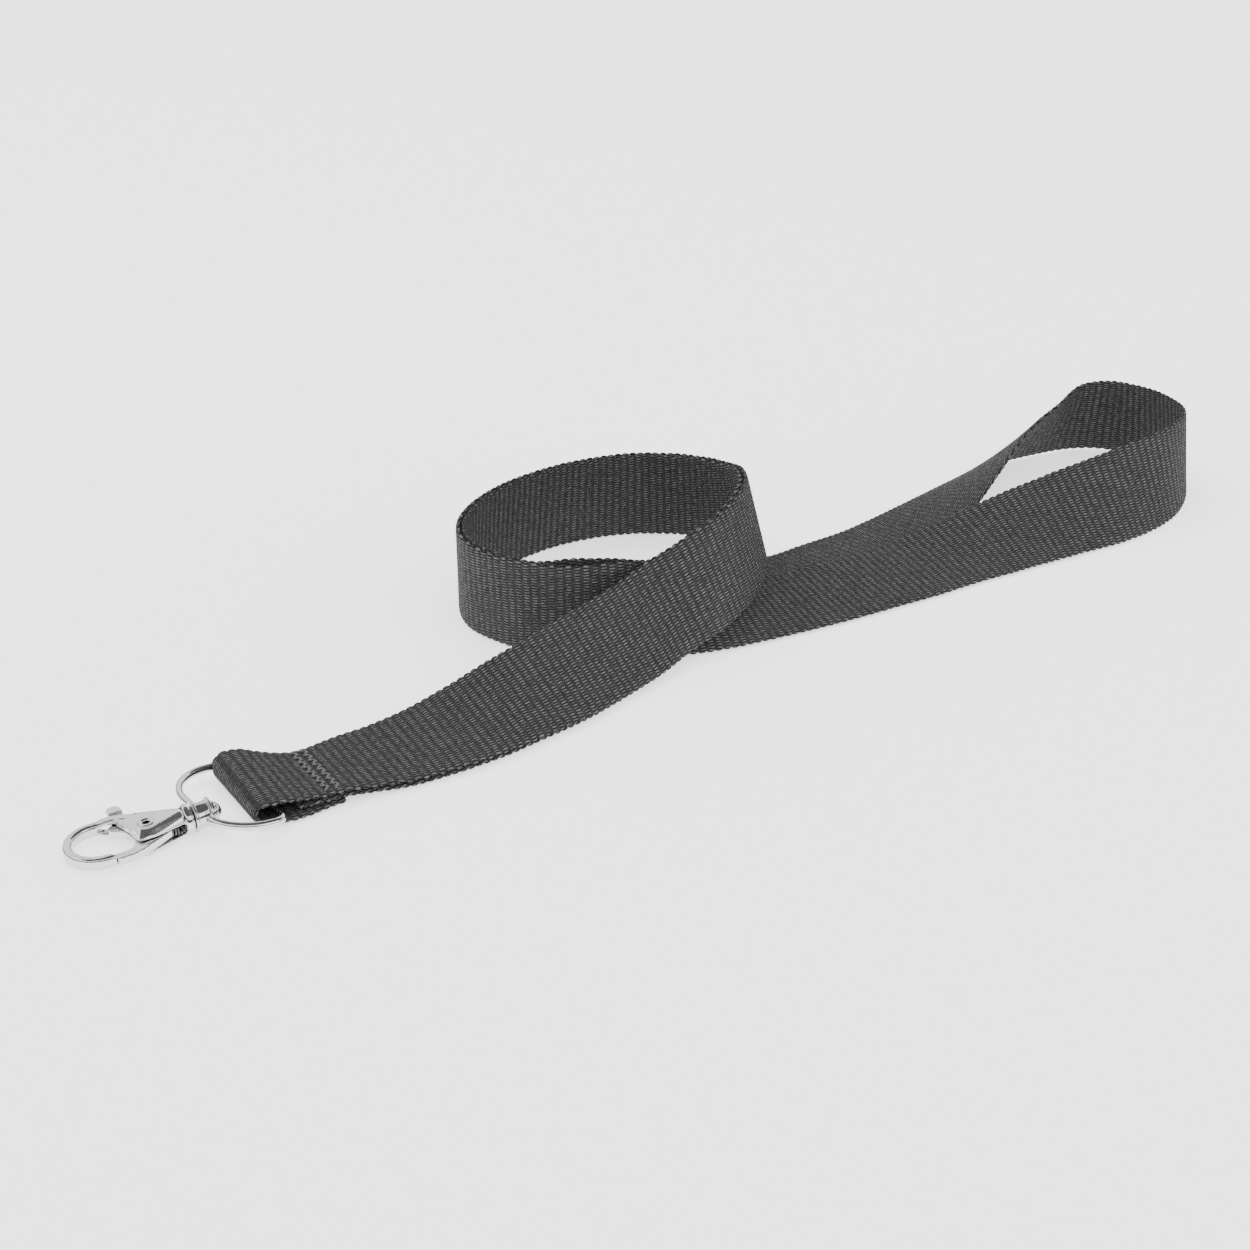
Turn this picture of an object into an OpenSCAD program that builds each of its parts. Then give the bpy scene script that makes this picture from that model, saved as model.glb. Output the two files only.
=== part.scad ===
// Neck lanyard: one length of ribbed woven strap, doubled, loosely coiled and laid down,
// with a D-ring caught in its sewn end fold and a swivelling trigger hook on the D-ring.
// Millimetres. The floor is z = 0.

/* [Strap] */
// Width of the woven strap
strap_w = 20; // [19:0.25:20.5]
// Thickness of the woven strap
strap_t = 1; // [0.8:0.05:1]
// Cross-sections between neighbouring stations along the strap
strap_steps = 4; // [3:1:5]
// Width of the zigzag rows of sewing
zig_w = 1.2; // [0.8:0.1:1.4]
// Diameter of the sewing thread
thread_d = 0.4; // [0.3:0.02:0.44]

/* [D-ring] */
// Diameter of the D-ring's wire
wire_d = 1.5; // [1.3:0.05:1.55]
// Half of the D-ring's width, measured to the middle of its wire
dee_half = 12.1; // [12:0.05:12.3]
// Depth of the D-ring from its straight bar to the swivel
dee_depth = 12.3; // [12.15:0.05:12.4]

/* [Swivel] */
// Radius of the swivel barrel
barrel_r = 2.8; // [2.6:0.05:2.85]
// Length of the swivel barrel
barrel_l = 3.5; // [3.3:0.05:3.5]
// Radius of the post that the hook turns on
post_r = 0.9; // [0.7:0.05:1]
// Radial clearance of the post in the barrel
post_gap = 0.07; // [0.03:0.01:0.1]

/* [Hook] */
// Outside radius of the hook's ring
hook_r = 6.6; // [6.3:0.1:6.8]
// Thickness of the hook's ring, seen from above
hook_w = 1.8; // [1.6:0.1:2]
// Height of the hook's ring
hook_h = 2.3; // [2:0.1:2.4]
// Angle that the hook dips towards its nose
hook_dip = 4.5; // [4:0.25:4.5]
// Thickness of the trigger lever
lever_h = 1.5; // [1.3:0.05:1.5]
// Radius of the rivet that the lever turns on
rivet_r = 1.1; // [0.9:0.05:1.2]

/* [Hidden] */
$fn = 48;

origin = [14.21, 9.54];   // middle of the footprint, moved to x = y = 0

// ---------- the strap's route ----------
// Each station: foot x, foot y, height of the foot, the compass direction that the strap leans
// towards, and how far it stands up from the floor (90 is on edge, 0 is flat), in mm and degrees.
pair = 1.05;     // the doubled strap's lower layer, times the cosine of its lean
off = 0.55;      // from the route to the middle of a layer
front = [[-52.7, -62.7, 1.15, 120, 0], [-50, -61.1, 1.15, 120, 0], [-45.1, -58.5, 0.55, 120, 1.5],
         [-38.4, -55.4, 0, 121, 5.5], [-30.6, -50.8, 0, 122, 10.5], [-22.5, -45, 0, 125, 18.5],
         [-14.8, -38, 0, 128, 27.2], [-6.9, -30.4, 0, 132, 36.4], [0, -22, 0, 137, 44], [7, -13.5, 0.5, 142, 50],
         [13, -6, 2, 146, 57], [19, -1, 4.2, 150, 61.5], [24, 6.5, 5.6, 156, 68], [27.3, 15, 6.4, 166, 72.5],
         [28.7, 25, 6.4, 178, 76], [28, 35, 5.2, 192, 77], [24.9, 43.9, 2.8, 215, 79], [18.4, 51.2, 1.2, 238, 81]];
ring = [[10, 55.5, 0.2, 255, 82], [0, 55.8, 0, 272, 82], [-10, 52.4, 0, 290, 82], [-18.5, 46.8, 0, 306, 83],
        [-25.8, 39, 0, 322, 85], [-31.2, 29.5, 0, 340, 87], [-33.2, 19.5, 0, 0, 90], [-31.2, 10.6, 0, 20, 92],
        [-25.7, 4.3, 0, 45, 93], [-18, -0.6, 0, 65, 92]];
leave = [[-8, -3.3, 0, 80, 87], [2, -4.5, 0, 90, 69], [11, -3, 0, 102, 49.5], [20, -0.5, 0, 111, 33.5],
         [29, 3.5, 0, 117, 19.3], [38, 8, 0, 120, 11.5], [47, 13, 0, 121, 9.5], [56, 18.5, 0, 122, 9],
         [65, 24, 0, 123, 10.5], [73, 29.5, 0, 124, 14.5], [82, 35, 0, 124, 21], [90, 40, 0, 122, 29],
         [99, 45.5, 0, 122, 38], [108, 51, 0, 126, 51], [116.7, 59, 0, 134, 66], [122.5, 68, 0, 150, 78]];
loop = [[125.5, 79, 0, 180, 85], [124, 90, 0, 215, 80], [118.8, 98, 0, 245, 76], [110.8, 102.6, 0, 268, 74],
        [102.5, 102.2, 0, 285, 70], [94, 98.5, 0, 298, 58]];
back = [[86, 93.8, 0, 305, 49], [78.5, 87.2, 0, 312, 41], [70.5, 79.2, 0, 314, 28], [62.7, 71.2, 0, 314, 14],
        [54.8, 63, 0, 314, 5], [46.8, 55.2, 0, 314, 3], [38.4, 48.8, 0, 312, 3], [30, 42.4, 0, 310, 3],
        [19.2, 37, 0, 308, 5], [10.2, 32.7, 0, 308, 11.5], [3.3, 27.4, 0, 310, 23], [-0.8, 21.2, 0, 311, 42],
        [-3.2, 11.4, 0, 308, 62], [-6, 4.6, 0, 300, 78], [-11.3, 0.6, 0, 300, 88]];

// The sewn end: fold_o is its corner, fold_a runs along the strap and fold_l across it.
fold_o = [-65.7, -70.2, 0];
fold_a = [cos(30), sin(30), 0];
fold_l = [-sin(30), cos(30), 0];
arc_a = 2.2;    // middle of the turned edge
arc_z = 2.27;
arc_r = 1.65;    // to the middle of the strap's thickness
tail_a = 18.1;    // where the turned-back end stops
under_a = 9;  // where the lower layer stops under the fold
seam_z = 2.2;
far_rise = 0.08; // slope that lifts the far end of the turned edge
function fold_pt(a, z, rise = 0, slide = 0) = let (p = fold_o + a * fold_a + slide * fold_l) [p[0], p[1], z, fold_l[0], fold_l[1], rise];

function lean_dir(az, up) = [cos(up) * cos(az), cos(up) * sin(az), sin(up)];
function station(q, layers) = let (d = lean_dir(q[3], q[4]))
    [q[0], q[1], q[2] + layers * pair * abs(cos(q[4])), d[0], d[1], d[2]];
function reversed(v) = [for (i = [len(v) - 1 : -1 : 0]) v[i]];
tail = concat([for (q = [[tail_a, 0], [14.4, -0.5], [11, -1.2], [8, -1.5], [5.4, -1.2], [3.6, -0.6]]) fold_pt(q[0], arc_z - arc_r + off, 0, q[1])],
              [for (w = [270 : -30 : 90]) fold_pt(arc_a + (arc_r - off) * cos(w), arc_z + (arc_r - off) * sin(w), far_rise * (1 + sin(w)) / 2, w > 260 ? -0.1 : 0)],
              [fold_pt(3.6, arc_z + arc_r - off, far_rise), fold_pt(5.6, 3.3, 0.85 * far_rise), fold_pt(8, 2.98, 0.4 * far_rise), fold_pt(10.6, 2.6, 0.1 * far_rise), fold_pt(13, 2.34)]);
shared = [for (q = concat(front, ring)) station(q, 1)];
single = [for (q = concat(leave, loop, back)) station(q, 0)];
route = concat(tail, shared, single, reversed(shared), [fold_pt(13, seam_z), fold_pt(11, seam_z), fold_pt(under_a, seam_z)]);

// A smooth curve through the stations
function ctrl(p, i) = i < 0 ? 2 * p[0] - p[1] : i >= len(p) ? 2 * p[len(p) - 1] - p[len(p) - 2] : p[i];
function spline(p, i, t) = let (a = ctrl(p, i - 1), b = ctrl(p, i), c = ctrl(p, i + 1), d = ctrl(p, i + 2))
    0.5 * (2 * b + (c - a) * t + (2 * a - 5 * b + 4 * c - d) * t * t + (3 * b - a - 3 * c + d) * t * t * t);
function smooth(p, k) = concat([for (i = [0 : len(p) - 2], j = [0 : k - 1]) spline(p, i, j / k)], [p[len(p) - 1]]);
function unit(v) = v / norm(v);
function foot(s) = [s[0], s[1], s[2]];
function up(s) = unit([s[3], s[4], s[5]]);
function along(p, i) = unit(foot(p[min(i + 1, len(p) - 1)]) + 10 * up(p[min(i + 1, len(p) - 1)])
                          - foot(p[max(i - 1, 0)]) - 10 * up(p[max(i - 1, 0)]));
function floored(v) = [v[0], v[1], max(v[2], 0)];

// Closed skin over rings of m points each
module skin(rings) {
    m = len(rings[0]);
    n = len(rings);
    polyhedron(points = [for (r = rings) each r],
        faces = concat([[for (j = [m - 1 : -1 : 0]) j]],
                       [for (i = [0 : n - 2], j = [0 : m - 1]) [i * m + j, i * m + (j + 1) % m, (i + 1) * m + j]],
                       [for (i = [0 : n - 2], j = [0 : m - 1]) [i * m + (j + 1) % m, (i + 1) * m + (j + 1) % m, (i + 1) * m + j]],
                       [[for (j = [0 : m - 1]) (n - 1) * m + j]]),
        convexity = 10);
}

module moved() { translate([-origin[0], -origin[1], 0]) children(); }

module webbing() {
    p = smooth(route, strap_steps);
    lo = off - strap_t / 2;
    hi = off + strap_t / 2;
    color([0.28, 0.28, 0.29]) moved()
        skin([for (i = [0 : len(p) - 1])
            let (l = foot(p[i]), r = up(p[i]), n = unit(cross(along(p, i), r)))
            [floored(l + lo * n), floored(l + strap_w * r + lo * n), floored(l + strap_w * r + hi * n), floored(l + hi * n)]]);
}

// ---------- sewing ----------
// A round line through points, with its section turned about z
function tube(pts, r, m) = [for (i = [0 : len(pts) - 1])
    let (t = unit(pts[min(i + 1, len(pts) - 1)] - pts[max(i - 1, 0)]), s = unit(cross([0, 0, 1], t)), n = cross(t, s))
    [for (j = [0 : m - 1]) pts[i] + r * (cos(j * 360 / m) * s + sin(j * 360 / m) * n)]];
function seam_pt(a, l, z) = fold_o + a * fold_a + l * fold_l + [0, 0, z];
zig_n = 16;
function zigzag(z) = concat(
    [for (i = [0 : zig_n]) seam_pt(15 + zig_w * (i % 2 - 0.5), 1.2 + i * (strap_w - 2.4) / zig_n, z)],
    [for (i = [0 : zig_n]) seam_pt(17 + zig_w * (i % 2 - 0.5), strap_w - 1.2 - i * (strap_w - 2.4) / zig_n, z)]);

module needle_thread() {
    color([0.5, 0.5, 0.51]) moved() skin(tube(zigzag(seam_z + off + strap_t / 2 + 0.06), thread_d / 2, 8));
}

module bobbin_thread() {
    color([0.5, 0.5, 0.51]) moved() skin(tube(zigzag(thread_d / 2), thread_d / 2, 8));
}

// ---------- D-ring ----------
dee_mid = [4, 9.2];   // middle of its straight bar, along and across the sewn end
dee_turn = 5;
dee_z0 = 2.15;
dee_z1 = 3.05;
dee_side = -3.57;          // the swivel sits this far off the middle of the D
corner = 2;
bow = 9;
module on_dee() {
    o = fold_o + dee_mid[0] * fold_a + dee_mid[1] * fold_l;
    moved() translate([o[0], o[1], dee_z0]) rotate([0, -asin((dee_z1 - dee_z0) / dee_depth), 30 + 180 + dee_turn]) children();
}
// the ring lies in its own x-y plane: bar along y at x = 0, bow at x = dee_depth
function dee_side_path(e, s) = concat(
    [for (w = [10 : 10 : 90]) [corner - corner * cos(w), s * (dee_half - corner + corner * sin(w)), 0]],
    [for (x = [2.6]) [x, s * dee_half, 0]],
    [for (w = [0 : 7.5 : 90]) [dee_depth - bow + bow * sin(w), s * (dee_half - bow + bow * cos(w)), 0]],
    [[dee_depth, e, 0]]);
function dee_path() = concat(reversed(dee_side_path(dee_side * -1 - 1.75, -1)),
    [for (y = [-9.9 : 3.3 : 9.9]) [0, y, 0]], dee_side_path(dee_side * -1 + 1.75, 1));

module d_ring() {
    color([0.75, 0.76, 0.78]) on_dee() skin(tube(dee_path(), wire_d / 2, 16));
}

// ---------- swivel ----------
// the hook's own axes: x along the hook from the middle of the barrel, y across it, z up
axle = [-74.85, -70.2, 3.08];
heading = 207;
module on_hook() { moved() translate(axle) rotate([0, hook_dip, heading]) children(); }
module rod(x0, x1, r) { translate([x0, 0, 0]) rotate([0, 90, 0]) cylinder(h = x1 - x0, r = r); }

module swivel_barrel() {
    color([0.72, 0.73, 0.75]) difference() {
        on_hook() difference() {
            union() {
                rod(-barrel_l / 2, barrel_l / 2, barrel_r - 0.35);
                rod(-barrel_l / 2, -barrel_l / 2 + 0.6, barrel_r + 0.1);
                rod(barrel_l / 2 - 0.6, barrel_l / 2, barrel_r + 0.1);
            }
            rod(-5, 5, post_r + post_gap);
        }
        on_dee() translate([dee_depth, -dee_side + 1.72, 0]) rotate([-90, 0, 0]) cylinder(h = 4, r = wire_d / 2);
        on_dee() translate([dee_depth, -dee_side - 1.72, 0]) rotate([90, 0, 0]) cylinder(h = 4, r = wire_d / 2);
    }
}

module swivel_washer() {
    color([0.6, 0.61, 0.63]) on_hook() difference() {
        rod(1.82, 2.32, 2.2);
        rod(1, 3, post_r + 0.05);
    }
}

module swivel_post() {
    color([0.72, 0.73, 0.75]) on_hook() {
        rod(-2, 3.3, post_r);
        difference() {
            translate([-1.82, 0, 0]) sphere(r = 1.85);
            translate([-1.82, -5, -5]) cube([10, 10, 10]);
        }
        rod(-2.2, -1.82, 2);
    }
}

// ---------- hook ----------
ring_c = [18.6, -0.4];
rivet_x = 10;
swing_r = 9.5;      // the gate's tip and the ring's end meet on this circle about the rivet
plate_z = 0.5;      // underside of the top shell
// the ring's section: a block with well rounded corners
function block(wide, tall) = [for (j = [0 : 19])
    let (c = cos(j * 18), s = sin(j * 18))
    [sign(c) * pow(abs(c), 0.62) * wide / 2, sign(s) * pow(abs(s), 0.62) * tall / 2]];
// sections along a route of points [x, y, z, width, height]
module limb(q) {
    skin([for (i = [0 : len(q) - 1])
        let (a = q[max(i - 1, 0)], b = q[min(i + 1, len(q) - 1)], t = unit([b[0] - a[0], b[1] - a[1], 0]), n = [-t[1], t[0], 0])
        [for (c = block(q[i][3], q[i][4])) [q[i][0], q[i][1], q[i][2]] - c[0] * n + [0, 0, c[1]]]]);
}
rm = hook_r - hook_w / 2;
ring_pts = [for (w = [-100 : 8 : 100]) [ring_c[0] + rm * cos(w), ring_c[1] + rm * sin(w), 0, hook_w, hook_h]];
upper_arm = [[9, -2.6, 1.15, 2.2, 1.1], [11, -3.6, 1.2, 2.2, 1.15], [13, -4.75, 1.15, 2.1, 1.2], [14.6, -5.6, 1.05, 2, 1.15],
             [16, -6, 0.9, 1.9, 1], [17.2, -6.12, 0.55, 1.8, 1.15], [18.2, -6.1, 0.2, 1.8, 1.8]];
lower_arm = [[9, -3.2, -1.55, 2.2, 0.8], [11, -4.1, -1.55, 2.2, 0.8], [13, -5, -1.55, 2.1, 0.8], [14.6, -5.65, -1.5, 2, 0.75],
             [16, -6, -1.35, 1.9, 0.75], [17.2, -6.12, -0.8, 1.8, 0.7], [18.2, -6.1, -0.35, 1.8, 1.6]];

module hook_body() {
    color([0.75, 0.76, 0.78]) on_hook() difference() {
        union() {
            // collar and its bead
            rod(2.32, 3.3, 2.8);
            hull() { rod(3.1, 3.3, 2.8); rod(3.6, 3.7, 2.35); }
            // domed top shell, widening from the collar to the mouth
            difference() {
                hull() {
                    translate([3.3, 0, plate_z]) rotate([0, 90, 0]) cylinder(h = 0.1, r = 1.85);
                    translate([3.3, -2.2, plate_z]) cube([0.1, 4.2, 0.1]);
                    translate([9.6, -0.2, plate_z]) cylinder(h = 1.42, r = 2.6);
                    translate([11.6, 2.4, plate_z]) cylinder(h = 0.5, r = 1.1);
                    translate([9.5, 2.6, plate_z]) cylinder(h = 0.3, r = 0.8);
                    translate([11.2, -3, plate_z]) cylinder(h = 1.1, r = 1.9);
                    translate([10, -3.4, plate_z]) cylinder(h = 0.5, r = 1.4);
                }
                translate([0, -10, plate_z - 5]) cube([30, 20, 5]);
                translate([3.3, -1, -0.15]) rotate([0, 90, 0]) cylinder(h = 4, r = 1.15);
            }
            // mouth side of the top shell, sweeping round to the near edge
            hull() {
                translate([11.6, 2.4, plate_z]) cylinder(h = 0.55, r = 1.1);
                translate([11.9, -0.6, plate_z]) cylinder(h = 1.1, r = 1.3);
            }
            hull() {
                translate([11.9, -0.6, plate_z]) cylinder(h = 1.1, r = 1.3);
                translate([13.2, -4.2, plate_z]) cylinder(h = 1.1, r = 1.2);
            }
            // bottom plate
            translate([0, 0, -1.95]) linear_extrude(height = 0.75)
                polygon([[3.2, 2.3], [11.7, 4.9], [12.3, 4.2], [12.3, 1.5], [13, -3], [13.4, -5.6], [11.5, -5.3], [8, -4.1], [3.2, -2.3]]);
            // closed far side of the channel
            hull() {
                translate([3.3, -2.3, -1.95]) cube([0.1, 0.8, 2.9]);
                translate([7.4, -3.9, -1.95]) cube([0.1, 0.8, 2.9]);
            }
            // bottom of the collar end
            hull() { rod(3.3, 3.4, 2.35); translate([5, -1.6, -1.95]) cube([0.1, 3.2, 0.5]); translate([3.3, -1.9, -1.95]) cube([0.1, 3.8, 0.3]); }
            limb(upper_arm);
            limb(lower_arm);
            limb(ring_pts);
        }
        // clear channel for the lever and spring behind the collar
        difference() {
            translate([3.7, -1.95, -1.2]) cube([9, 9, 1.7]);
            translate([0, -10, -5]) cube([3.7, 20, 10]);
        }
        translate([3.3, -1, -0.15]) rotate([0, 90, 0]) cylinder(h = 4, r = 1.15);
        // the ring's end clears the gate's swing
        translate([rivet_x, 0, -1.15]) intersection() {
            cylinder(h = 2.4, r = swing_r, $fn = 120);
            translate([3, 2.5, 0]) cube([10, 10, 4]);
        }
        rod(2, 3.31, post_r + 0.01);
        translate([rivet_x, 0, -3]) cylinder(h = 8, r = rivet_r + 0.01);
    }
}

// lever outline, seen from above: bar, hub, heel, thumb arm, mouth side and gate
lever_pts = [[6.3, 2.55], [9.2, 3.95], [12.4, 5.6], [14.2, 6.2], [16.2, 6.25], [19.5, 6.1], [19.5, 3.9], [17.5, 4.3], [15.4, 4.35],
             [14, 3.9], [13.2, 3], [12.95, 1.6], [13.2, 0.2], [13.6, -1.3], [14.3, -2.3], [15.3, -3], [16, -3.5],
             [15.9, -4.5], [15, -5.2], [14.7, -7], [14.7, -9.2], [14.2, -9.9], [12.8, -10], [12.1, -9.3], [12, -7.4], [11.8, -5.2],
             [11.1, -3.5], [9.6, -2.9], [8, -2.7], [6.66, -2.3], [6.66, 0.2], [7.6, 0.6], [8, 1.4], [7.5, 2], [6.2, 1.35]];

module gate_lever() {
    color([0.74, 0.75, 0.77]) on_hook() difference() {
        union() {
            translate([0, 0, -1.12]) linear_extrude(height = lever_h) polygon(lever_pts);
            translate([0, 0, -0.6]) linear_extrude(height = 1.7)
                polygon([[14.7, -7.6], [14.7, -9.2], [14.2, -9.9], [12.8, -10], [12.1, -9.3], [12, -7.6]]);
        }
        translate([rivet_x, 0, -3]) cylinder(h = 6, r = rivet_r + 0.06);
        // the gate's tip is rounded about the rivet
        difference() {
            translate([15, 2, -2]) cube([8, 6, 4]);
            translate([rivet_x, 0, -3]) cylinder(h = 6, r = swing_r - 0.12);
        }
    }
}

module gate_pivot() {
    color([0.7, 0.71, 0.73]) on_hook() translate([rivet_x, 0, 0]) difference() {
        union() {
            translate([0, 0, -2.1]) cylinder(h = 4.2, r = rivet_r);
            translate([0, 0, 1.93]) cylinder(h = 0.3, r = 1.65);
            translate([0, 0, -2.17]) cylinder(h = 0.2, r = 1.6);
        }
        translate([0, 0, -3]) cylinder(h = 6, r = 0.6);
    }
}

coil_n = 4.5;
module gate_spring() {
    x0 = 3.9;
    x1 = 6.46;
    color([0.6, 0.61, 0.62]) on_hook()
        skin([for (i = [0 : 12 * coil_n])
            let (w = i * 30, x = x0 + (x1 - x0) * i / (12 * coil_n), c = [x, -1 + 0.78 * cos(w), -0.2 + 0.78 * sin(w)],
                 o = [0, cos(w), sin(w)], t = unit([(x1 - x0) / (coil_n * 2 * PI), -0.78 * sin(w), 0.78 * cos(w)]), b = cross(t, o))
            [for (j = [0 : 7]) c + 0.17 * (cos(j * 45) * o + sin(j * 45) * b)]]);
}

webbing();
needle_thread();
bobbin_thread();
d_ring();
swivel_barrel();
swivel_washer();
swivel_post();
hook_body();
gate_lever();
gate_pivot();
gate_spring();
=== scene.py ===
import math

import bmesh
import bpy
import numpy as np
from mathutils import Euler, Matrix, Vector


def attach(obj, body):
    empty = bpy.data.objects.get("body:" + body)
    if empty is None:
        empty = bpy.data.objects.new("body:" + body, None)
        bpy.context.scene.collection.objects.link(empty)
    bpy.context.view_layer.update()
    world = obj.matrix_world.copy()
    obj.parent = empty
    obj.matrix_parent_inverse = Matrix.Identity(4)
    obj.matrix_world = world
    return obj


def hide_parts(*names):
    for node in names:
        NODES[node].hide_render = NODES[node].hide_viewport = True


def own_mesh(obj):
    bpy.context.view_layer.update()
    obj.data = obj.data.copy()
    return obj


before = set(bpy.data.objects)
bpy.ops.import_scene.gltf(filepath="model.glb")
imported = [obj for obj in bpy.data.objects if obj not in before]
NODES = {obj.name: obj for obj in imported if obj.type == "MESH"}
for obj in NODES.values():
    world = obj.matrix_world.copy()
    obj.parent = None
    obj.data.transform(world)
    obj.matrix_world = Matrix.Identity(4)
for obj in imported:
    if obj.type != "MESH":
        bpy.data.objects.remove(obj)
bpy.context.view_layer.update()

MM = 0.001
ORIGIN = np.array([14.21, 9.54, 0.0])

# ------------------------------------------------------------------ camera
TARGET = Vector((-0.01421, -0.00954, 0.0))
ELEV = math.radians(27)
DIST = 0.55
cam_data = bpy.data.cameras.new("camera")
cam = bpy.data.objects.new("camera", cam_data)
bpy.context.scene.collection.objects.link(cam)
cam.location = TARGET + Vector((0, -DIST * math.cos(ELEV), DIST * math.sin(ELEV)))
cam.rotation_euler = Euler((math.pi / 2 - ELEV, 0, 0))
cam_data.sensor_width = 36
cam_data.sensor_fit = "HORIZONTAL"
cam_data.lens = 2750 / 1250 * 36
cam_data.shift_y = 0.02
cam_data.clip_start = 0.01
cam_data.clip_end = 20
bpy.context.scene.camera = cam


# ------------------------------------------------------------------ helpers
def new_object(name, verts, faces, body, smooth=True):
    me = bpy.data.meshes.new(name)
    me.from_pydata([tuple(v) for v in verts], [], [tuple(f) for f in faces])
    me.update()
    if smooth:
        me.polygons.foreach_set("use_smooth", [True] * len(me.polygons))
    ob = bpy.data.objects.new(name, me)
    bpy.context.scene.collection.objects.link(ob)
    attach(ob, body)
    return ob


def skin_faces(n, m):
    """Quads over n rings of m points, with both ends closed by fans."""
    faces = []
    for i in range(n - 1):
        a, b = i * m, (i + 1) * m
        for j in range(m):
            k = (j + 1) % m
            faces.append((a + j, a + k, b + k, b + j))
    faces.append(tuple(range(m))[::-1])
    faces.append(tuple((n - 1) * m + j for j in range(m)))
    return faces


def tube(points, radius, m, up=None):
    """Round line through points. up is the fixed direction that its section keeps to."""
    p = np.array(points, float)
    t = np.gradient(p, axis=0)
    t /= np.linalg.norm(t, axis=1)[:, None]
    if up is None:
        up = np.array([0.0, 0.0, 1.0])
    s = np.cross(up, t)
    s /= np.linalg.norm(s, axis=1)[:, None]
    n = np.cross(t, s)
    w = np.linspace(0, 2 * np.pi, m, endpoint=False)
    r = np.broadcast_to(np.asarray(radius, float), (len(p),))
    v = p[:, None] + r[:, None, None] * (np.cos(w)[None, :, None] * s[:, None] + np.sin(w)[None, :, None] * n[:, None])
    return v.reshape(-1, 3), skin_faces(len(p), m)


def lathe(profile, m=72):
    """Closed profile of (x, r) turned about the x axis."""
    pr = np.array(profile, float)
    w = np.linspace(0, 2 * np.pi, m, endpoint=False)
    v = np.stack([np.broadcast_to(pr[:, None, 0], (len(pr), m)), pr[:, None, 1] * np.cos(w), pr[:, None, 1] * np.sin(w)], -1)
    faces = []
    n = len(pr)
    for i in range(n):
        for j in range(m):
            a, b = i * m, ((i + 1) % n) * m
            k = (j + 1) % m
            faces.append((a + j, b + j, b + k, a + k))
    return v.reshape(-1, 3), faces


def placed(v, mat):
    """Millimetres in a local frame to metres in the row frame."""
    v = np.asarray(v, float)
    m = np.array(mat)
    return (v @ m[:3, :3].T + m[:3, 3]) * MM


def weld(me, dist=1e-7):
    bm = bmesh.new()
    bm.from_mesh(me)
    bmesh.ops.remove_doubles(bm, verts=bm.verts, dist=dist)
    bmesh.ops.recalc_face_normals(bm, faces=bm.faces)
    bm.to_mesh(me)
    bm.free()


def cast_copy(name, node, body, voxel, rounds):
    """The node's own shape with the soft edges that a casting or a tumbled stamping has."""
    me = bpy.data.meshes.new(name)
    src = NODES[node].data
    co = np.zeros(len(src.vertices) * 3)
    src.vertices.foreach_get("co", co)
    me.from_pydata(co.reshape(-1, 3).tolist(), [], [tuple(p.vertices) for p in src.polygons])
    me.update()
    weld(me, 2e-6)
    ob = bpy.data.objects.new(name, me)
    bpy.context.scene.collection.objects.link(ob)
    mod = ob.modifiers.new("remesh", "REMESH")
    mod.mode = "VOXEL"
    mod.voxel_size = voxel
    sm = ob.modifiers.new("smooth", "SMOOTH")
    sm.factor = 0.5
    sm.iterations = rounds
    bpy.context.view_layer.update()
    dg = bpy.context.evaluated_depsgraph_get()
    out = bpy.data.meshes.new_from_object(ob.evaluated_get(dg))
    ob.modifiers.clear()
    ob.data = out
    out.name = name
    out.polygons.foreach_set("use_smooth", [True] * len(out.polygons))
    out.update()
    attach(ob, body)
    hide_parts(node)
    return ob


# ------------------------------------------------------------------ shader helpers
class Tree:
    def __init__(self, name):
        self.mat = bpy.data.materials.new(name)
        self.mat.use_nodes = True
        self.nt = self.mat.node_tree
        self.bsdf = self.nt.nodes["Principled BSDF"]

    def node(self, kind, **sets):
        n = self.nt.nodes.new(kind)
        for k, v in sets.items():
            setattr(n, k, v)
        return n

    def link(self, a, b):
        self.nt.links.new(a, b)

    def math(self, op, a, b=None, clamp=False):
        n = self.node("ShaderNodeMath", operation=op, use_clamp=clamp)
        for i, v in enumerate((a, b)):
            if v is None:
                continue
            if isinstance(v, (int, float)):
                n.inputs[i].default_value = v
            else:
                self.link(v, n.inputs[i])
        return n.outputs[0]

    def smooth(self, x, lo, hi):
        n = self.node("ShaderNodeMapRange", interpolation_type="SMOOTHSTEP")
        self.link(x, n.inputs[0])
        n.inputs[1].default_value = lo
        n.inputs[2].default_value = hi
        return n.outputs[0]

    def remap(self, x, lo, hi, a, b):
        n = self.node("ShaderNodeMapRange")
        self.link(x, n.inputs[0])
        for i, v in enumerate((lo, hi, a, b)):
            n.inputs[i + 1].default_value = v
        return n.outputs[0]

    def mix(self, fac, a, b):
        n = self.node("ShaderNodeMix", data_type="RGBA")
        if isinstance(fac, (int, float)):
            n.inputs[0].default_value = fac
        else:
            self.link(fac, n.inputs[0])
        for i, v in ((6, a), (7, b)):
            if isinstance(v, tuple):
                n.inputs[i].default_value = (*v, 1.0)
            else:
                self.link(v, n.inputs[i])
        return n.outputs[2]

    def noise(self, scale, detail=3.0, rough=0.5, coord="Object"):
        tc = self.node("ShaderNodeTexCoord")
        n = self.node("ShaderNodeTexNoise")
        self.link(tc.outputs[coord], n.inputs["Vector"])
        n.inputs["Scale"].default_value = scale
        n.inputs["Detail"].default_value = detail
        n.inputs["Roughness"].default_value = rough
        return n.outputs[0]

    def bump(self, height, strength, distance):
        n = self.node("ShaderNodeBump")
        self.link(height, n.inputs["Height"])
        n.inputs["Strength"].default_value = strength
        n.inputs["Distance"].default_value = distance
        self.link(n.outputs[0], self.bsdf.inputs["Normal"])


RIB = 1.65   # mm between the ribs that cross the webbing
YARN = 0.6   # mm between the warp yarns


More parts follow.
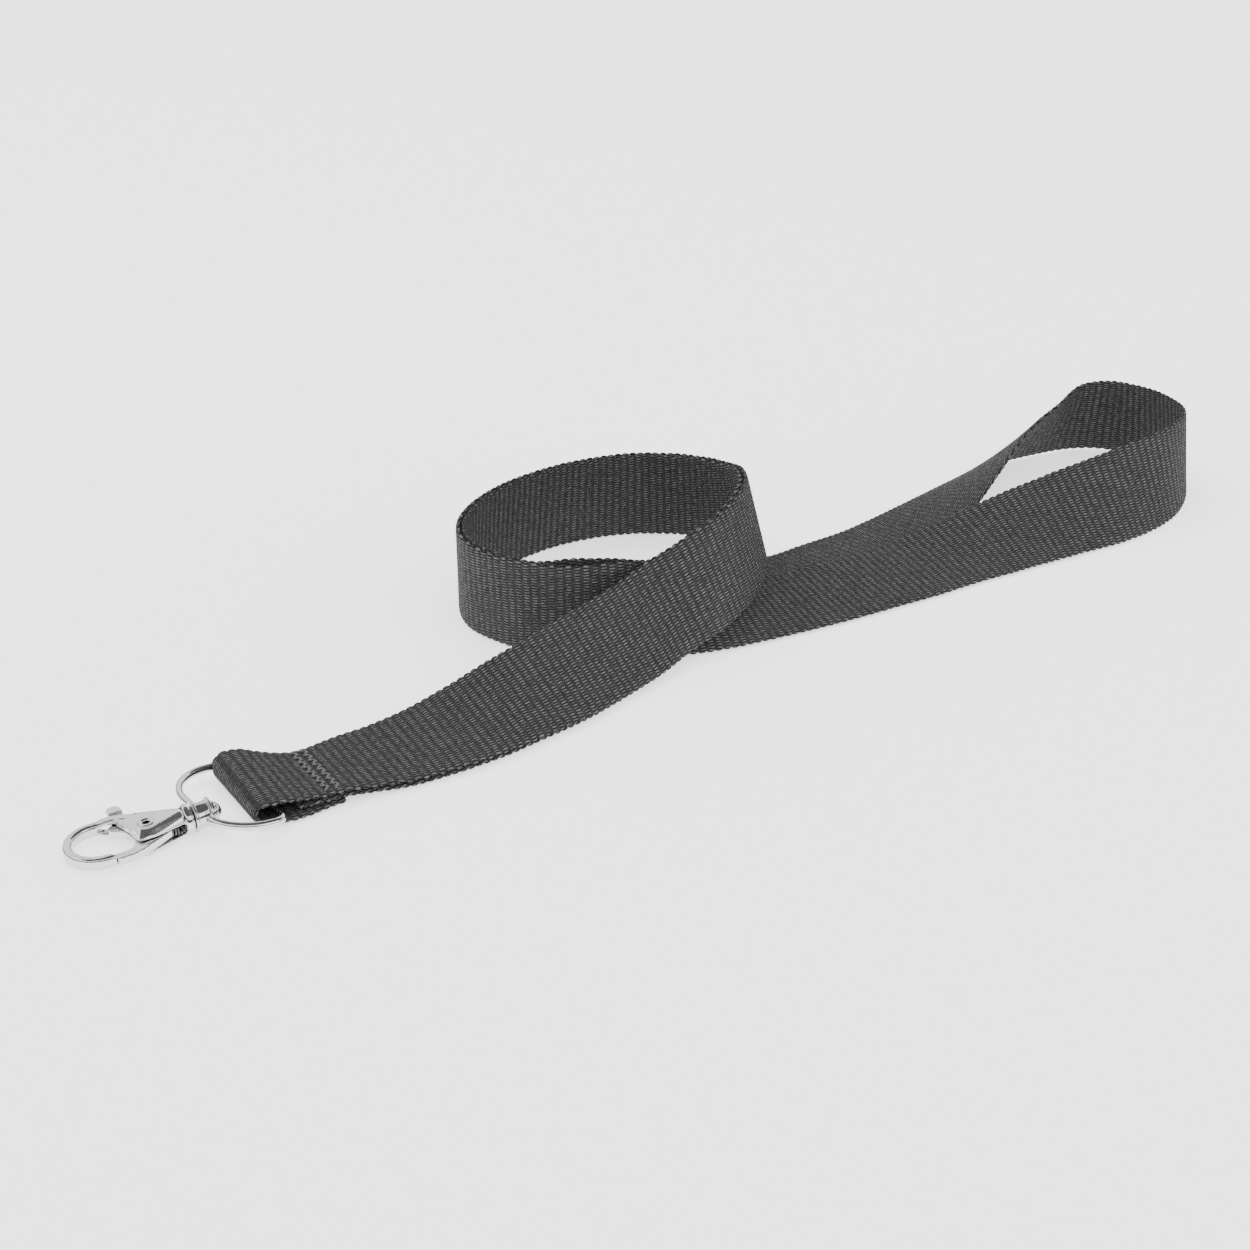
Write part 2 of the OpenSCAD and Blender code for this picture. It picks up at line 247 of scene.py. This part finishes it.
def webbing_material():
    t = Tree("ribbed_webbing")
    uv = t.node("ShaderNodeUVMap", uv_map="weave")
    sep = t.node("ShaderNodeSeparateXYZ")
    t.link(uv.outputs[0], sep.inputs[0])
    u = t.math("MULTIPLY", sep.outputs[0], 20 / RIB)       # ribs
    v = t.math("MULTIPLY", sep.outputs[1], 20 / YARN)      # yarns
    wob = t.noise(900, 2.0, 0.6)
    v = t.math("ADD", v, t.remap(wob, 0, 1, -0.22, 0.22))
    row = t.math("FLOOR", u)
    half = t.math("MULTIPLY", row, 0.5)
    fu = t.math("ABSOLUTE", t.math("SUBTRACT", t.math("FRACT", u), 0.5))
    fv = t.math("ABSOLUTE", t.math("SUBTRACT", t.math("FRACT", t.math("ADD", v, half)), 0.5))
    # long float of a warp yarn on the crown of each rib
    fl = t.math("MULTIPLY", t.smooth(fu, 0.46, 0.2), t.smooth(fv, 0.4, 0.16))
    # the short float that shows between two ribs
    fv2 = t.math("ABSOLUTE", t.math("SUBTRACT", t.math("FRACT", t.math("ADD", t.math("ADD", v, half), 0.5)), 0.5))
    fl2 = t.math("MULTIPLY", t.smooth(fu, 0.3, 0.48), t.smooth(fv2, 0.4, 0.1))
    mask = t.math("MAXIMUM", fl, t.math("MULTIPLY", fl2, 0.45))
    # plies of each yarn
    ply = t.math("SINE", t.math("MULTIPLY", t.math("ADD", t.math("MULTIPLY", u, 2.4), t.math("MULTIPLY", v, 1.0)), 2 * math.pi * 1.5))
    mask2 = t.math("MULTIPLY", mask, t.remap(ply, -1, 1, 0.86, 1.0))
    big = t.noise(55, 3.0, 0.55)
    fine = t.noise(4200, 2.0, 0.7)
    glint_and_lift = t.noise(1300, 2.0, 0.6)                            # painted highlight that varies at random, with float height: some floats catch the light, some sit low
    mask2 = t.math("MULTIPLY", mask2, t.remap(glint_and_lift, 0.36, 0.62, 0.3, 1.15))
    body = t.mix(t.remap(big, 0.3, 0.7, 0, 1), (0.009, 0.009, 0.0093), (0.014, 0.014, 0.0144))
    # painted highlight: the floats are coloured much lighter than the body, as if light falls on their crowns
    col = t.mix(mask2, body, (0.135, 0.135, 0.138))
    # painted shade: the grooves between the ribs and yarns are darkened in colour
    gap_shade = t.math("MULTIPLY", t.smooth(fv, 0.34, 0.5), t.smooth(fu, 0.5, 0.28))
    col = t.mix(t.math("MULTIPLY", gap_shade, 0.8), col, (0.004, 0.004, 0.0042))
    col = t.mix(t.remap(fine, 0.45, 0.75, 0, 0.14), col, (0.14, 0.14, 0.143))
    t.link(col, t.bsdf.inputs["Base Color"])
    t.link(t.remap(mask2, 0, 1, 0.85, 0.52), t.bsdf.inputs["Roughness"])
    t.bsdf.inputs["Specular IOR Level"].default_value = 0.1
    t.bsdf.inputs["Sheen Weight"].default_value = 0.015
    t.bsdf.inputs["Sheen Roughness"].default_value = 0.5
    h = t.math("ADD", mask2, t.math("MULTIPLY", fine, 0.3))
    t.bump(h, 1.0, 0.00034)
    return t.mat


def thread_material():
    t = Tree("sewing_thread")
    uv = t.node("ShaderNodeUVMap", uv_map="weave")
    sep = t.node("ShaderNodeSeparateXYZ")
    t.link(uv.outputs[0], sep.inputs[0])
    tw = t.math("SINE", t.math("MULTIPLY", t.math("ADD", t.math("MULTIPLY", sep.outputs[0], 30), sep.outputs[1]), 2 * math.pi))
    fine = t.noise(6000, 2.0, 0.7)
    # painted highlight and shade: the crests of the twist are coloured lighter, the crevices darker
    col = t.mix(t.remap(tw, -1, 1, 0, 1), (0.05, 0.05, 0.052), (0.13, 0.13, 0.133))
    t.link(col, t.bsdf.inputs["Base Color"])
    t.link(t.remap(fine, 0.3, 0.7, 0.45, 0.62), t.bsdf.inputs["Roughness"])
    t.bsdf.inputs["Sheen Weight"].default_value = 0.1
    t.bump(tw, 0.5, 0.00004)
    return t.mat


def chrome_material(name, tint, rough, wave=0.0, grain=900.0):
    """Bright plated metal: slight orange peel, fine rubbing marks and duller worn patches."""
    t = Tree(name)
    big = t.noise(160, 4.0, 0.6)
    fine = t.noise(grain, 3.0, 0.6)
    dark = tuple(c * 0.86 for c in tint)
    t.link(t.mix(t.remap(big, 0.35, 0.7, 0, 1), dark, tint), t.bsdf.inputs["Base Color"])
    t.bsdf.inputs["Metallic"].default_value = 1.0
    t.link(t.math("ADD", t.remap(big, 0.3, 0.75, rough * 0.7, rough * 1.7), t.remap(fine, 0.3, 0.7, 0, rough * 0.35)), t.bsdf.inputs["Roughness"])
    t.bump(t.math("ADD", big, t.math("MULTIPLY", fine, 0.12)), 0.25 + wave, 0.00006)
    return t.mat


WEB = webbing_material()
THREAD = thread_material()
CHROME = chrome_material("bright_plating", (0.7, 0.703, 0.71), 0.07)
WIRE = chrome_material("plated_wire", (0.7, 0.703, 0.71), 0.07, 0.1)
TURNED = chrome_material("turned_plating", (0.64, 0.643, 0.65), 0.09, 0.05, 2600)
SPRING = chrome_material("spring_wire", (0.88, 0.885, 0.89), 0.32, 0.05, 3000)
SPRING.node_tree.nodes["Principled BSDF"].inputs["Metallic"].default_value = 0.55
for name, mat in (("webbing", WEB), ("needle_thread", THREAD), ("bobbin_thread", THREAD), ("d_ring", WIRE), ("swivel_barrel", TURNED),
                  ("swivel_washer", TURNED), ("swivel_post", TURNED), ("hook_body", CHROME), ("gate_lever", CHROME),
                  ("gate_pivot", TURNED), ("gate_spring", SPRING)):
    for s in NODES[name].material_slots:
        s.material = mat

# ------------------------------------------------------------------ the strap's route, as in the frame
FRONT = [[-52.7, -62.7, 1.15, 120, 0], [-50, -61.1, 1.15, 120, 0], [-45.1, -58.5, 0.55, 120, 1.5],
         [-38.4, -55.4, 0, 121, 5.5], [-30.6, -50.8, 0, 122, 10.5], [-22.5, -45, 0, 125, 18.5],
         [-14.8, -38, 0, 128, 27.2], [-6.9, -30.4, 0, 132, 36.4], [0, -22, 0, 137, 44], [7, -13.5, 0.5, 142, 50],
         [13, -6, 2, 146, 57], [19, -1, 4.2, 150, 61.5], [24, 6.5, 5.6, 156, 68], [27.3, 15, 6.4, 166, 72.5],
         [28.7, 25, 6.4, 178, 76], [28, 35, 5.2, 192, 77], [24.9, 43.9, 2.8, 215, 79], [18.4, 51.2, 1.2, 238, 81]]
RING = [[10, 55.5, 0.2, 255, 82], [0, 55.8, 0, 272, 82], [-10, 52.4, 0, 290, 82], [-18.5, 46.8, 0, 306, 83],
        [-25.8, 39, 0, 322, 85], [-31.2, 29.5, 0, 340, 87], [-33.2, 19.5, 0, 0, 90], [-31.2, 10.6, 0, 20, 92],
        [-25.7, 4.3, 0, 45, 93], [-18, -0.6, 0, 65, 92]]
LEAVE = [[-8, -3.3, 0, 80, 87], [2, -4.5, 0, 90, 69], [11, -3, 0, 102, 49.5], [20, -0.5, 0, 111, 33.5],
         [29, 3.5, 0, 117, 19.3], [38, 8, 0, 120, 11.5], [47, 13, 0, 121, 9.5], [56, 18.5, 0, 122, 9],
         [65, 24, 0, 123, 10.5], [73, 29.5, 0, 124, 14.5], [82, 35, 0, 124, 21], [90, 40, 0, 122, 29],
         [99, 45.5, 0, 122, 38], [108, 51, 0, 126, 51], [116.7, 59, 0, 134, 66], [122.5, 68, 0, 150, 78]]
LOOP = [[125.5, 79, 0, 180, 85], [124, 90, 0, 215, 80], [118.8, 98, 0, 245, 76], [110.8, 102.6, 0, 268, 74],
        [102.5, 102.2, 0, 285, 70], [94, 98.5, 0, 298, 58]]
BACK = [[86, 93.8, 0, 305, 49], [78.5, 87.2, 0, 312, 41], [70.5, 79.2, 0, 314, 28], [62.7, 71.2, 0, 314, 14],
        [54.8, 63, 0, 314, 5], [46.8, 55.2, 0, 314, 3], [38.4, 48.8, 0, 312, 3], [30, 42.4, 0, 310, 3],
        [19.2, 37, 0, 308, 5], [10.2, 32.7, 0, 308, 11.5], [3.3, 27.4, 0, 310, 23], [-0.8, 21.2, 0, 311, 42],
        [-3.2, 11.4, 0, 308, 62], [-6, 4.6, 0, 300, 78], [-11.3, 0.6, 0, 300, 88]]
PAIR, OFF, WIDTH, THICK = 1.05, 0.55, 20.0, 1.0
FOLD_O = np.array([-65.7, -70.2, 0.0])
FOLD_A = np.array([math.cos(math.radians(30)), math.sin(math.radians(30)), 0.0])
FOLD_L = np.array([-math.sin(math.radians(30)), math.cos(math.radians(30)), 0.0])
ARC_A, ARC_Z, ARC_R, TAIL_A, UNDER_A, SEAM_Z = 2.2, 2.27, 1.65, 18.1, 9.0, 2.2


FAR_RISE = 0.08   # the far end of the turned edge stands a little higher


def fold_pt(a, z, rise=0.0, slide=0.0):
    p = FOLD_O + a * FOLD_A + slide * FOLD_L
    return [p[0], p[1], z, FOLD_L[0], FOLD_L[1], rise]


def station(q, layers):
    az, up = math.radians(q[3]), math.radians(q[4])
    return [q[0], q[1], q[2] + layers * PAIR * abs(math.cos(up)), math.cos(up) * math.cos(az), math.cos(up) * math.sin(az), math.sin(up)]


def route():
    tail = [fold_pt(a, ARC_Z - ARC_R + OFF, 0, q) for a, q in ((TAIL_A, 0), (14.4, -0.5), (11, -1.2), (8, -1.5), (5.4, -1.2), (3.6, -0.6))]
    for w in range(270, 80, -30):
        c, s = math.cos(math.radians(w)), math.sin(math.radians(w))
        tail.append(fold_pt(ARC_A + (ARC_R - OFF) * c, ARC_Z + (ARC_R - OFF) * s, FAR_RISE * (1 + s) / 2, -0.1 if w > 260 else 0.0))
    tail += [fold_pt(3.6, ARC_Z + ARC_R - OFF, FAR_RISE), fold_pt(5.6, 3.3, 0.85 * FAR_RISE), fold_pt(8, 2.98, 0.4 * FAR_RISE),
             fold_pt(10.6, 2.6, 0.1 * FAR_RISE), fold_pt(13, 2.34)]
    shared = [station(q, 1) for q in FRONT + RING]
    single = [station(q, 0) for q in LEAVE + LOOP + BACK]
    return np.array(tail + shared + single + shared[::-1] + [fold_pt(13, SEAM_Z), fold_pt(11, SEAM_Z), fold_pt(UNDER_A, SEAM_Z)])


def dense(p, k):
    q = np.vstack([2 * p[0] - p[1], p, 2 * p[-1] - p[-2]])
    t = (np.arange(k) / k)[:, None]
    out = [0.5 * (2 * q[i] + (q[i + 1] - q[i - 1]) * t + (2 * q[i - 1] - 5 * q[i] + 4 * q[i + 1] - q[i + 2]) * t ** 2
                  + (3 * q[i] - q[i - 1] - 3 * q[i + 1] + q[i + 2]) * t ** 3) for i in range(1, len(p))]
    return np.vstack(out + [p[-1:]])


def strap_frames():
    d = dense(route(), 24)
    foot, up = d[:, :3], d[:, 3:] / np.linalg.norm(d[:, 3:], axis=1)[:, None]
    mid = foot + 10 * up
    s = np.concatenate([[0], np.cumsum(np.linalg.norm(np.diff(mid, axis=0), axis=1))])
    return foot, up, s


STEP = 8      # rings for each rib


def make_webbing():
    foot, up, s = strap_frames()
    total = s[-1]
    ribs = int(round(total / RIB))
    n = ribs * STEP + 1
    at = np.linspace(0, total, n)
    L = np.stack([np.interp(at, s, foot[:, i]) for i in range(3)], 1)
    R = np.stack([np.interp(at, s, up[:, i]) for i in range(3)], 1)
    # the fine samples are straight between the dense ones, so the ring directions are smoothed a little
    for _ in range(3):
        L[1:-1] = 0.25 * L[:-2] + 0.5 * L[1:-1] + 0.25 * L[2:]
        R[1:-1] = 0.25 * R[:-2] + 0.5 * R[1:-1] + 0.25 * R[2:]
    R /= np.linalg.norm(R, axis=1)[:, None]
    T = np.gradient(L + 10 * R, axis=0)
    T /= np.linalg.norm(T, axis=1)[:, None]
    N = np.cross(T, R)
    N /= np.linalg.norm(N, axis=1)[:, None]
    phase = at / total * ribs
    crown = np.abs(np.sin(np.pi * phase)) ** 0.8           # 0 in the groove, 1 on the rib
    rng = np.random.default_rng(11)
    jitter = np.interp(phase, np.arange(ribs + 2), rng.normal(0, 1, ribs + 2))
    # section: across from the foot edge to the top edge, on the outer face and back on the inner face
    w_in = np.array([0.75, 2.2, 4.5, 7.2, 10, 12.8, 15.5, 17.8, 19.25])
    half = THICK / 2
    rows, uvs = [], []
    # the sewing gathers the layers: the far edge comes in round the seam, on all three layers
    rel = L - FOLD_O
    at_a = rel @ FOLD_A
    sewn = (at < 50) | (at > total - 22)
    pull = np.where(sewn, 2.1 * np.exp(-((at_a - 16.5) / 5.5) ** 2), 0.0)
    for i in range(n):
        c = crown[i]
        h = half * (0.74 + 0.26 * c)
        e = 0.34 * (1 - c) + 0.05 * jitter[i] * 0.5        # scalloped selvedge
        hh = np.full(len(w_in), h)
        hh[[0, -1]] *= 0.97
        w = np.array([0.03 + e, 0.28 + e, *w_in, WIDTH - 0.28 - e, WIDTH - 0.03 - e])
        w = w * (1 - pull[i] / WIDTH)
        top = [0.22 * h, 0.72 * h, *hh, 0.72 * h, 0.22 * h]
        sec = [(a, b) for a, b in zip(w, top)] + [(a, -b) for a, b in zip(w[::-1], top[::-1])]
        rows.append([L[i] + a * R[i] + (OFF + b) * N[i] for a, b in sec])
        uvs.append([(at[i] / 20.0, a / 20.0 / (1 - pull[i] / WIDTH)) for a, b in sec])
    v = np.array(rows)
    m = v.shape[1]
    v[:, :, 2] = np.maximum(v[:, :, 2], 0.0)
    faces = skin_faces(n, m)
    ob = new_object("webbing_strap", (v.reshape(-1, 3) - ORIGIN) * MM, faces, "strap")
    uv = np.array(uvs).reshape(-1, 2)
    layer = ob.data.uv_layers.new(name="weave")
    idx = np.zeros(len(ob.data.loops), int)
    ob.data.loops.foreach_get("vertex_index", idx)
    layer.data.foreach_set("uv", uv[idx].ravel())
    ob.data.materials.append(WEB)
    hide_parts("webbing")
    return ob, total


def seam_pt(a, l, z):
    return FOLD_O + a * FOLD_A + l * FOLD_L + np.array([0, 0, z])


def zig_path(z, lift, sink):
    """Two zigzag rows. The thread rises over the cloth between its needle holes and dives at each."""
    corners = []
    nz = 16
    for i in range(nz + 1):
        corners.append((15.0 + 1.2 * (i % 2 - 0.5), 1.2 + i * (WIDTH - 4.4) / nz))
    for i in range(nz + 1):
        corners.append((17 + 1.2 * (i % 2 - 0.5), WIDTH - 3.2 - i * (WIDTH - 4.4) / nz))
    pts = []
    for (a0, l0), (a1, l1) in zip(corners, corners[1:]):
        for k in range(7):
            t = k / 7
            dz = lift * math.sin(math.pi * t) - sink * (math.cos(2 * math.pi * t) * 0.5 + 0.5) ** 3
            pts.append(seam_pt(a0 + (a1 - a0) * t, l0 + (l1 - l0) * t, z + dz))
    pts.append(seam_pt(corners[-1][0], corners[-1][1], z - sink))
    return pts


def make_thread(name, node, z, lift, sink, flat=False):
    pts = zig_path(z, lift, sink)
    v, f = tube(pts, 0.2, 10)
    if flat:
        v[:, 2] = np.maximum(v[:, 2], 0.0)
    ob = new_object(name, (v - ORIGIN) * MM, f, "strap")
    p = np.array(pts)
    s = np.concatenate([[0], np.cumsum(np.linalg.norm(np.diff(p, axis=0), axis=1))])
    uv = np.stack([np.repeat(s / 20.0, 10), np.tile(np.arange(10) / 10.0, len(p))], 1)
    layer = ob.data.uv_layers.new(name="weave")
    idx = np.zeros(len(ob.data.loops), int)
    ob.data.loops.foreach_get("vertex_index", idx)
    layer.data.foreach_set("uv", uv[idx].ravel())
    ob.data.materials.append(THREAD)
    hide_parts(node)
    return ob


strap, strap_length = make_webbing()
needle = make_thread("needle_stitches", "needle_thread", SEAM_Z + OFF + THICK / 2 + 0.04, 0.1, 0.16)
bobbin = make_thread("bobbin_stitches", "bobbin_thread", 0.22, 0.0, 0.0, True)

# ------------------------------------------------------------------ D-ring
DEE_TURN, DEE_Z0, DEE_Z1, DEE_HALF, DEE_DEPTH = 5, 2.15, 3.05, 12.1, 12.3
DEE_SIDE, CORNER, BOW, WIRE_R = 3.57, 2.0, 9.0, 0.75
dee_o = FOLD_O + 4 * FOLD_A + 9.2 * FOLD_L - ORIGIN
DEE = Matrix.Translation((dee_o[0], dee_o[1], DEE_Z0)) @ Euler((0, -math.asin((DEE_Z1 - DEE_Z0) / DEE_DEPTH), math.radians(210 + DEE_TURN))).to_matrix().to_4x4()


def dee_side(e, s):
    out = []
    for w in np.arange(5, 90.1, 5):
        w = math.radians(w)
        out.append((CORNER - CORNER * math.cos(w), s * (DEE_HALF - CORNER + CORNER * math.sin(w)), 0))
    for x in np.arange(2.5, DEE_DEPTH - BOW - 0.1, 0.5):
        out.append((x, s * DEE_HALF, 0))
    for w in np.arange(0, 90.1, 3):
        w = math.radians(w)
        out.append((DEE_DEPTH - BOW + BOW * math.sin(w), s * (DEE_HALF - BOW + BOW * math.cos(w)), 0))
    y = s * (DEE_HALF - BOW)
    for k in range(1, 7):
        out.append((DEE_DEPTH, y + (e - y) * k / 6, 0))
    return out


dee_pts = dee_side(DEE_SIDE - 1.75, -1)[::-1] + [(0, y, 0) for y in np.arange(-9.9, 9.91, 0.9)] + dee_side(DEE_SIDE + 1.75, 1)
v, f = tube(dee_pts, WIRE_R, 32)
dee = new_object("d_ring_wire", placed(v, DEE), f, "dee")
dee.data.materials.append(WIRE)
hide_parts("d_ring")

# ------------------------------------------------------------------ swivel and rivet
HOOK = Matrix.Translation((-74.85 - ORIGIN[0], -70.2 - ORIGIN[1], 3.08)) @ Euler((0, math.radians(4.5), math.radians(207))).to_matrix().to_4x4()


def round_profile(pts, r=0.12, steps=4):
    """Rounds each corner of a closed profile by about r."""
    out = []
    n = len(pts)
    p = np.array(pts, float)
    for i in range(n):
        a, b, c = p[i - 1], p[i], p[(i + 1) % n]
        da, dc = np.linalg.norm(a - b), np.linalg.norm(c - b)
        q = min(r, 0.45 * da, 0.45 * dc)
        s, e = b + (a - b) / da * q, b + (c - b) / dc * q
        for k in range(steps + 1):
            t = k / steps
            out.append((1 - t) ** 2 * s + 2 * t * (1 - t) * b + t * t * e)
    return out


v, f = lathe(round_profile([(-1.75, 0.97), (-1.75, 2.72), (-1.6, 2.9), (-1.3, 2.9), (-1.14, 2.7), (-1.1, 2.45), (-0.7, 2.4), (0, 2.36), (0.7, 2.4),
                            (1.1, 2.45), (1.14, 2.7), (1.3, 2.9), (1.6, 2.9), (1.75, 2.72), (1.75, 0.97)], 0.12))
barrel = new_object("swivel_barrel_turned", placed(v, HOOK), f, "dee")
barrel.data.materials.append(TURNED)
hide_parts("swivel_barrel")

v, f = lathe(round_profile([(1.82, 0.95), (1.82, 2.05), (1.92, 2.2), (2.2, 2.2), (2.3, 2.05), (2.3, 0.95)], 0.12))
washer = new_object("swivel_washer_turned", placed(v, HOOK), f, "hook")
washer.data.materials.append(TURNED)
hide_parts("swivel_washer")

head = [(-1.82 - 1.85 * math.cos(w), 1.85 * math.sin(w)) for w in np.linspace(0.03, 1.3, 14)]
head = [(x, r) for x, r in head if x < -2.25] + [(-2.24, 2.0), (-1.84, 2.0)]
prof = head[:-2] + [tuple(p) for p in round_profile([(-2.24, 1.8), (-2.24, 2.0), (-1.84, 2.0), (-1.84, 0.9)], 0.1)][5:15] + [(-1.84, 0.9), (3.28, 0.9), (3.28, 0.02)]
v, f = lathe(prof)
post = new_object("swivel_post_turned", placed(v, HOOK), f, "hook")
weld(post.data, 2e-6)
post.data.materials.append(TURNED)
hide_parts("swivel_post")

RIVET = HOOK @ Matrix.Translation((10, 0, 0)) @ Euler((0, -math.pi / 2, 0)).to_matrix().to_4x4()
v, f = lathe(round_profile([(-2.17, 0.62), (-2.17, 1.6), (-1.97, 1.6), (-1.97, 1.1), (1.93, 1.1), (1.93, 1.65), (2.2, 1.45), (2.22, 0.95), (2.0, 0.6)], 0.16))
rivet = new_object("gate_rivet", placed(v, RIVET), f, "hook")
rivet.data.materials.append(TURNED)
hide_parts("gate_pivot")

# ------------------------------------------------------------------ spring
x0, x1, turns = 3.9, 6.46, 4.5
ang = np.linspace(0, 2 * math.pi * turns, int(28 * turns))
cx = x0 + (x1 - x0) * np.linspace(0, 1, len(ang))
pts = np.stack([cx, -1 + 0.78 * np.cos(ang), -0.2 + 0.78 * np.sin(ang)], 1)
v, f = tube(pts, 0.17, 12, up=np.array([1.0, 0, 0]))
spring = new_object("gate_spring_coil", placed(v, HOOK), f, "hook")
spring.data.materials.append(SPRING)
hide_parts("gate_spring")
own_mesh(spring)

# ------------------------------------------------------------------ hook and lever
hook = cast_copy("hook_casting", "hook_body", "hook", 0.00011, 11)
hook.data.materials.clear()
hook.data.materials.append(CHROME)
lever = cast_copy("trigger_lever", "gate_lever", "trigger", 0.0001, 11)
lever.data.materials.clear()
lever.data.materials.append(CHROME)

# ------------------------------------------------------------------ floor, light
fl = bpy.data.meshes.new("floor")
fl.from_pydata([(-3, -3, -0.0001), (3, -3, -0.0001), (3, 3, -0.0001), (-3, 3, -0.0001)], [], [(0, 1, 2, 3)])
floor = bpy.data.objects.new("floor", fl)
bpy.context.scene.collection.objects.link(floor)
ft = Tree("paper_floor")
grain = ft.noise(300, 3.0, 0.6)
ft.link(ft.mix(ft.remap(grain, 0.3, 0.7, 0, 1), (0.93, 0.93, 0.93), (0.95, 0.95, 0.95)), ft.bsdf.inputs["Base Color"])
ft.bsdf.inputs["Roughness"].default_value = 0.9
ft.bsdf.inputs["Specular IOR Level"].default_value = 0.1
ft.bsdf.inputs["Emission Color"].default_value = (1, 1, 1, 1)
ft.bsdf.inputs["Emission Strength"].default_value = 1.2
fl.materials.append(ft.mat)

world = bpy.data.worlds.new("studio")
world.use_nodes = True
bpy.context.scene.world = world
world.node_tree.nodes["Background"].inputs[0].default_value = (1, 1, 1, 1)
world.node_tree.nodes["Background"].inputs[1].default_value = 1.7


def softbox(name, loc, size, watts, aim=(0, 0, 0)):
    ld = bpy.data.lights.new(name, "AREA")
    ld.shape = "RECTANGLE"
    ld.size, ld.size_y = size
    ld.energy = watts
    ob = bpy.data.objects.new(name, ld)
    bpy.context.scene.collection.objects.link(ob)
    ob.location = loc
    d = Vector(aim) - Vector(loc)
    ob.rotation_euler = d.to_track_quat("-Z", "Y").to_euler()
    return ob


softbox("key_light", (-0.35, 0.25, 0.9), (0.7, 0.7), 3.5)
softbox("fill_light", (0.7, -0.5, 0.7), (0.6, 0.6), 2.5)


def card(name, corners):
    me = bpy.data.meshes.new(name)
    me.from_pydata(corners, [], [(0, 1, 2, 3)])
    ob = bpy.data.objects.new(name, me)
    bpy.context.scene.collection.objects.link(ob)
    t = Tree(name + "_black")
    t.link(t.mix(t.noise(20), (0.01, 0.01, 0.01), (0.02, 0.02, 0.02)), t.bsdf.inputs["Base Color"])
    me.materials.append(t.mat)
    ob.visible_camera = False
    ob.visible_diffuse = False
    ob.visible_shadow = False
    return ob


card("dark_card_back", [(-1.4, 1.0, 0.01), (1.4, 1.0, 0.01), (1.4, 1.0, 0.26), (-1.4, 1.0, 0.26)])
card("dark_card_left", [(-1.0, -1.1, 0.01), (-1.0, 0.9, 0.01), (-1.0, 0.9, 0.35), (-1.0, -1.1, 0.35)])
card("dark_card_right", [(1.1, -1.1, 0.01), (1.1, 0.9, 0.01), (1.1, 0.9, 0.3), (1.1, -1.1, 0.3)])
card("dark_card_front", [(-1.2, -1.1, 0.01), (1.2, -1.1, 0.01), (1.2, -1.1, 0.52), (-1.2, -1.1, 0.52)])
card("dark_card_over", [(-0.6, -0.62, 0.8), (-0.6, 0.78, 0.8), (1.15, 0.78, 0.8), (1.15, -0.62, 0.8)])
